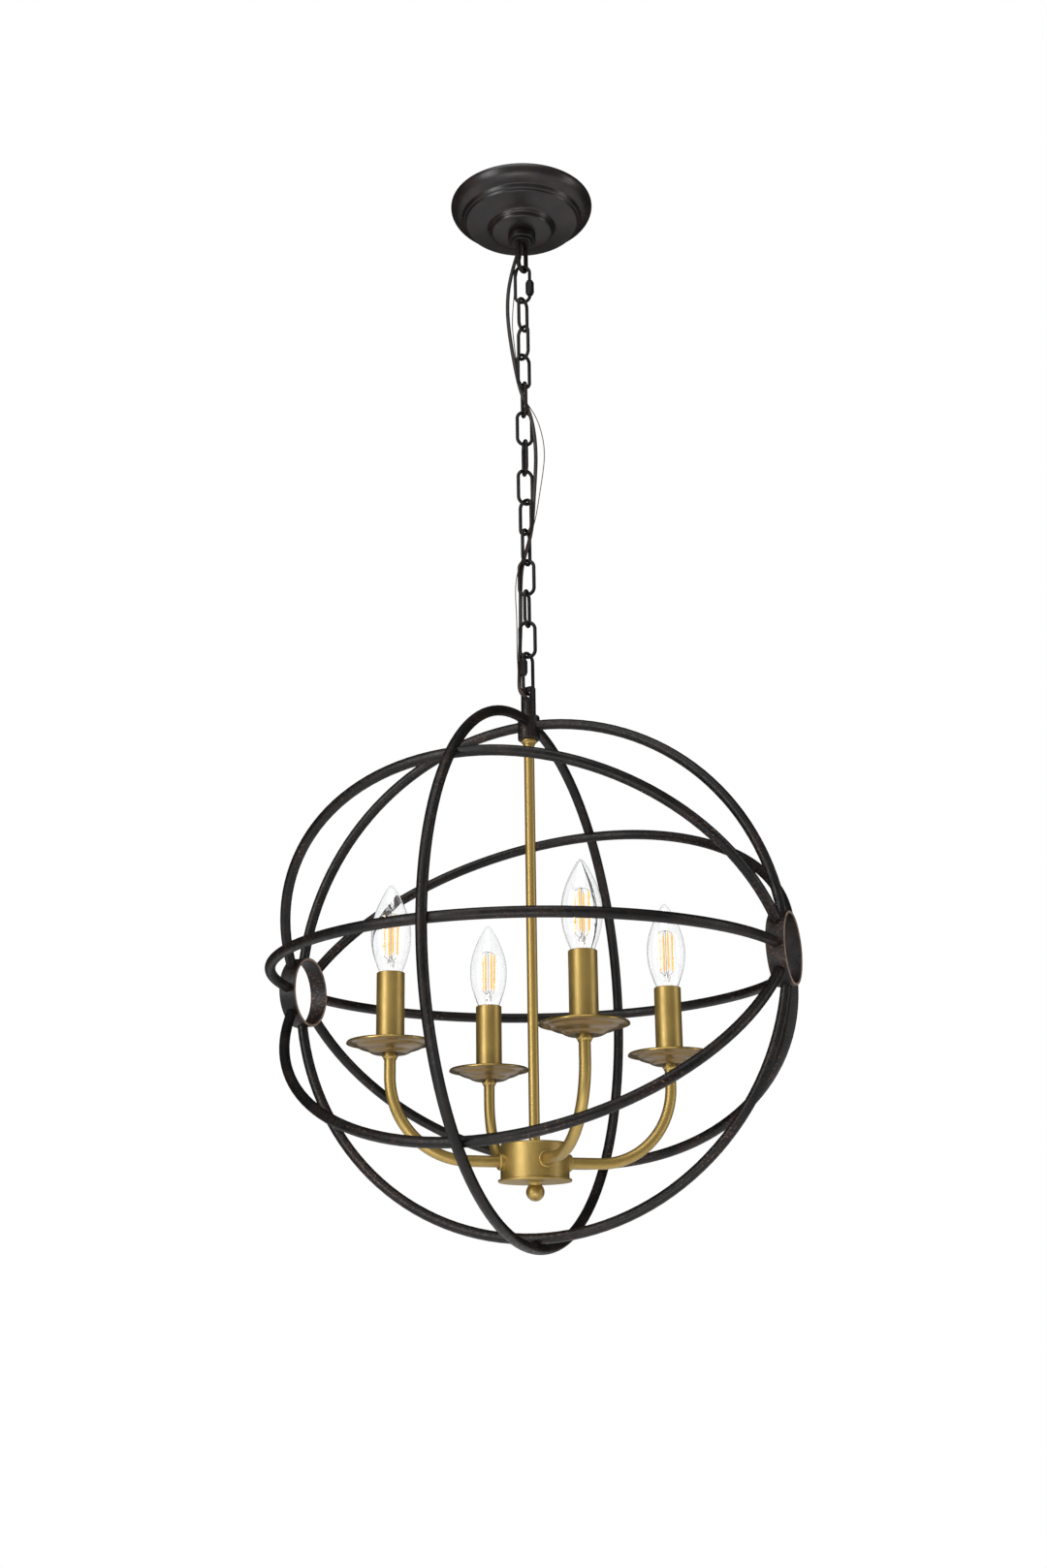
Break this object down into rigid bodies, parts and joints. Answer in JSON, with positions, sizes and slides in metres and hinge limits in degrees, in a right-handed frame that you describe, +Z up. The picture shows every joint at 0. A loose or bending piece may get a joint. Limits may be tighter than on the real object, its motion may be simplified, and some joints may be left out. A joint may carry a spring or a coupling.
{
  "type": "orb chandelier",
  "caption": "Open metal orb of crossed hoops around a cluster of curved candle arms, hung by a chain from a ceiling canopy.",
  "frame": {"origin": "middle of the crossbar's upper face, on the ceiling, on the chain's line; all of it hangs below", "axes": "+Z up; +X through the orb's two side collars; +Y away from the side that the picture shows, which looks from about 21 degrees to the right of -Y"},
  "size_m": [0.476, 0.4854, 1.0392],
  "materials": {
    "bronze": "satin",
    "chain_bronze": "satin",
    "gold": "satin",
    "zinc": "satin",
    "cord_jacket": "matte",
    "earth_metal": "satin",
    "socket": "matte",
    "lead": "matte",
    "bulb_clear": "clear gloss",
    "bulb_parts": "satin"
  },
  "bodies": {
    "ceiling": {"crossbar": "zinc", "ceiling_nipple": "zinc", "nipple_nuts": "zinc", "canopy": "bronze", "screw_collar": "chain_bronze", "canopy_loop": "chain_bronze"},
    "quick_top": {"quick_link_top": "chain_bronze"},
    "nut_top": {"sleeve_nut_top": "chain_bronze"},
    "link_01": {"chain_link_01": "chain_bronze"},
    "link_02": {"chain_link_02": "chain_bronze"},
    "link_03": {"chain_link_03": "chain_bronze"},
    "link_04": {"chain_link_04": "chain_bronze"},
    "link_05": {"chain_link_05": "chain_bronze"},
    "link_06": {"chain_link_06": "chain_bronze", "supply_cord": "cord_jacket", "earth_wire": "earth_metal"},
    "link_07": {"chain_link_07": "chain_bronze"},
    "link_08": {"chain_link_08": "chain_bronze"},
    "link_09": {"chain_link_09": "chain_bronze"},
    "link_10": {"chain_link_10": "chain_bronze"},
    "link_11": {"chain_link_11": "chain_bronze"},
    "link_12": {"chain_link_12": "chain_bronze"},
    "quick_bottom": {"quick_link_bottom": "chain_bronze"},
    "nut_bottom": {"sleeve_nut_bottom": "chain_bronze"},
    "fixture": {"hub_loop": "chain_bronze", "top_hub": "bronze", "ring_outer": "bronze", "ring_upright": "bronze", "ring_level": "bronze", "ring_lean_front": "bronze", "ring_lean_back": "bronze", "side_collar_right": "bronze", "side_collar_left": "bronze", "stem_flange": "gold", "stem_rod": "gold", "stem_leads": "lead", "cluster_body": "gold", "cluster_cap": "gold", "cluster_nuts": "zinc", "finial": "gold", "arm_1": "gold", "arm_2": "gold", "arm_3": "gold", "arm_4": "gold", "arm_collars": "gold", "arm_nuts": "gold", "lamp_leads": "lead", "bobeches": "gold", "lamp_sockets": "socket", "candle_sleeves": "gold"},
    "bulb_1": {"bulb_glass_1": "bulb_clear", "bulb_base_1": "bulb_parts"},
    "bulb_2": {"bulb_glass_2": "bulb_clear", "bulb_base_2": "bulb_parts"},
    "bulb_3": {"bulb_glass_3": "bulb_clear", "bulb_base_3": "bulb_parts"},
    "bulb_4": {"bulb_glass_4": "bulb_clear", "bulb_base_4": "bulb_parts"}
  },
  "joints": [
    {"name": "quick_top_swing", "type": "hinge", "parent": "ceiling", "child": "quick_top", "pos_m": [0, 0, -0.0763], "axis": [0.2054, 0.9787, 0], "range_deg": [-30, 30]},
    {"name": "link_01_swing", "type": "hinge", "parent": "quick_top", "child": "link_01", "pos_m": [0, 0, -0.1128], "axis": [0.9738, 0.2275, 0], "range_deg": [-12, 12]},
    {"name": "link_02_swing", "type": "hinge", "parent": "link_01", "child": "link_02", "pos_m": [0, 0, -0.14455], "axis": [0.2224, 0.975, 0], "range_deg": [-12, 12]},
    {"name": "link_03_swing", "type": "hinge", "parent": "link_02", "child": "link_03", "pos_m": [0, 0, -0.17625], "axis": [0.8842, -0.4672, 0], "range_deg": [-12, 12]},
    {"name": "link_04_swing", "type": "hinge", "parent": "link_03", "child": "link_04", "pos_m": [0, 0, -0.20795], "axis": [0.4825, 0.8759, 0], "range_deg": [-12, 12]},
    {"name": "link_05_swing", "type": "hinge", "parent": "link_04", "child": "link_05", "pos_m": [0, 0, -0.23965], "axis": [0.5757, -0.8176, 0], "range_deg": [-12, 12]},
    {"name": "link_06_swing", "type": "hinge", "parent": "link_05", "child": "link_06", "pos_m": [0, 0, -0.27135], "axis": [0.8176, 0.5757, 0], "range_deg": [-12, 12]},
    {"name": "link_07_swing", "type": "hinge", "parent": "link_06", "child": "link_07", "pos_m": [0, 0, -0.30305], "axis": [0.5614, -0.8276, 0], "range_deg": [-12, 12], "deforming": ["supply_cord", "earth_wire"]},
    {"name": "link_08_swing", "type": "hinge", "parent": "link_07", "child": "link_08", "pos_m": [0, 0, -0.33475], "axis": [0.7296, 0.6839, 0], "range_deg": [-12, 12]},
    {"name": "link_09_swing", "type": "hinge", "parent": "link_08", "child": "link_09", "pos_m": [0, 0, -0.36645], "axis": [0.9215, -0.3883, 0], "range_deg": [-12, 12]},
    {"name": "link_10_swing", "type": "hinge", "parent": "link_09", "child": "link_10", "pos_m": [0, 0, -0.39815], "axis": [0.1193, 0.9929, 0], "range_deg": [-12, 12]},
    {"name": "link_11_swing", "type": "hinge", "parent": "link_10", "child": "link_11", "pos_m": [0, 0, -0.42985], "axis": [0.9942, 0.1071, 0], "range_deg": [-12, 12]},
    {"name": "link_12_swing", "type": "hinge", "parent": "link_11", "child": "link_12", "pos_m": [0, 0, -0.46155], "axis": [-0.0724, 0.9974, 0], "range_deg": [-12, 12]},
    {"name": "quick_bottom_swing", "type": "hinge", "parent": "link_12", "child": "quick_bottom", "pos_m": [0, 0, -0.49325], "axis": [0.9738, 0.2275, 0], "range_deg": [-12, 12]},
    {"name": "fixture_swing", "type": "hinge", "parent": "quick_bottom", "child": "fixture", "pos_m": [0, 0, -0.5303], "axis": [0.2899, 0.9571, 0], "range_deg": [-30, 30]},
    {"name": "nut_top_slide", "type": "slide", "parent": "quick_top", "child": "nut_top", "axis": [0, 0, 1], "range_m": [0, 0.006]},
    {"name": "nut_bottom_slide", "type": "slide", "parent": "quick_bottom", "child": "nut_bottom", "axis": [0, 0, -1], "range_m": [0, 0.006]},
    {"name": "bulb_1_turn", "type": "hinge", "parent": "fixture", "child": "bulb_1", "pos_m": [0.08356, -0.09959, -0.86035], "axis": [0, 0, -1], "range_deg": [-1080, 0]},
    {"name": "bulb_2_turn", "type": "hinge", "parent": "fixture", "child": "bulb_2", "pos_m": [0.09959, 0.08356, -0.86035], "axis": [0, 0, -1], "range_deg": [-1080, 0]},
    {"name": "bulb_3_turn", "type": "hinge", "parent": "fixture", "child": "bulb_3", "pos_m": [-0.08356, 0.09959, -0.86035], "axis": [0, 0, -1], "range_deg": [-1080, 0]},
    {"name": "bulb_4_turn", "type": "hinge", "parent": "fixture", "child": "bulb_4", "pos_m": [-0.09959, -0.08356, -0.86035], "axis": [0, 0, -1], "range_deg": [-1080, 0]}
  ]
}
